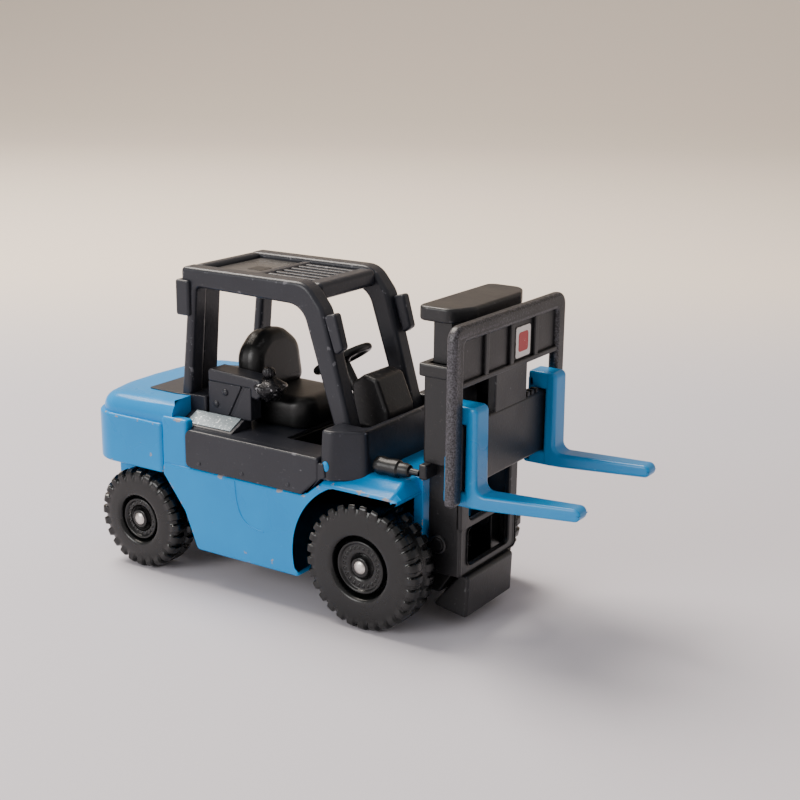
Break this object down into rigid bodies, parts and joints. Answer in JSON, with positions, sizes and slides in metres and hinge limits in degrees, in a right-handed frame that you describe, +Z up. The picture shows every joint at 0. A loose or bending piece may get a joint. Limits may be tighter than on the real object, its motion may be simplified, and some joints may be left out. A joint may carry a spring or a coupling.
{
  "type": "toy forklift",
  "caption": "Toy counterbalance forklift: cast body, overhead guard and seat, rolling wheels on pinned axles, and a telescoping mast with a sliding fork carriage.",
  "frame": {"origin": "on the ground, at the middle of the overall length and width", "axes": "+X forward towards the fork tips, +Y to the truck's left, +Z up"},
  "size_m": [0.0618, 0.0224, 0.0344],
  "materials": {
    "blue_enamel": "gloss",
    "slate_paint": "satin",
    "mast_charcoal": "satin",
    "black_plastic": "satin",
    "tyre_plastic": "gloss",
    "fork_plastic": "gloss",
    "silver_paint": "satin",
    "worn_lever": "worn",
    "axle_steel": "satin",
    "sticker": "satin"
  },
  "bodies": {
    "truck": {"body_casting": "blue_enamel", "hood_deck": "slate_paint", "silver_strip": "silver_paint", "overhead_guard": "slate_paint", "armrest_console": "slate_paint", "control_levers": "worn_lever", "seat": "black_plastic", "dashboard": "black_plastic", "steering_wheel": "black_plastic", "cab_floor": "black_plastic", "chassis": "black_plastic", "base_rivets": "axle_steel", "outer_mast": "mast_charcoal", "mast_pin": "mast_charcoal", "tilt_cylinder_left": "black_plastic", "tilt_cylinder_right": "black_plastic"},
    "inner_stage": {"inner_mast": "mast_charcoal", "mast_cap": "mast_charcoal"},
    "carriage": {"fork_carriage": "mast_charcoal", "slide_shoe": "black_plastic", "badge_plate": "sticker", "fork_left": "fork_plastic", "fork_right": "fork_plastic"},
    "front_wheelset": {"front_axle": "axle_steel", "front_wheel_left": "tyre_plastic", "front_wheel_right": "tyre_plastic"},
    "rear_wheelset": {"rear_axle": "axle_steel", "rear_wheel_left": "tyre_plastic", "rear_wheel_right": "tyre_plastic"}
  },
  "joints": [
    {"name": "front_axle_spin", "type": "hinge", "parent": "truck", "child": "front_wheelset", "pos_m": [0.00775, 0, 0.00685], "axis": [0, 1, 0], "continuous": true},
    {"name": "rear_axle_spin", "type": "hinge", "parent": "truck", "child": "rear_wheelset", "pos_m": [-0.02235, 0, 0.00575], "axis": [0, 1, 0], "continuous": true},
    {"name": "mast_slide", "type": "slide", "parent": "truck", "child": "inner_stage", "axis": [0, 0, 1], "range_m": [-0.0038, 0.0034]},
    {"name": "carriage_slide", "type": "slide", "parent": "inner_stage", "child": "carriage", "axis": [0, 0, 1], "range_m": [-0.0083, 0.0044]}
  ]
}
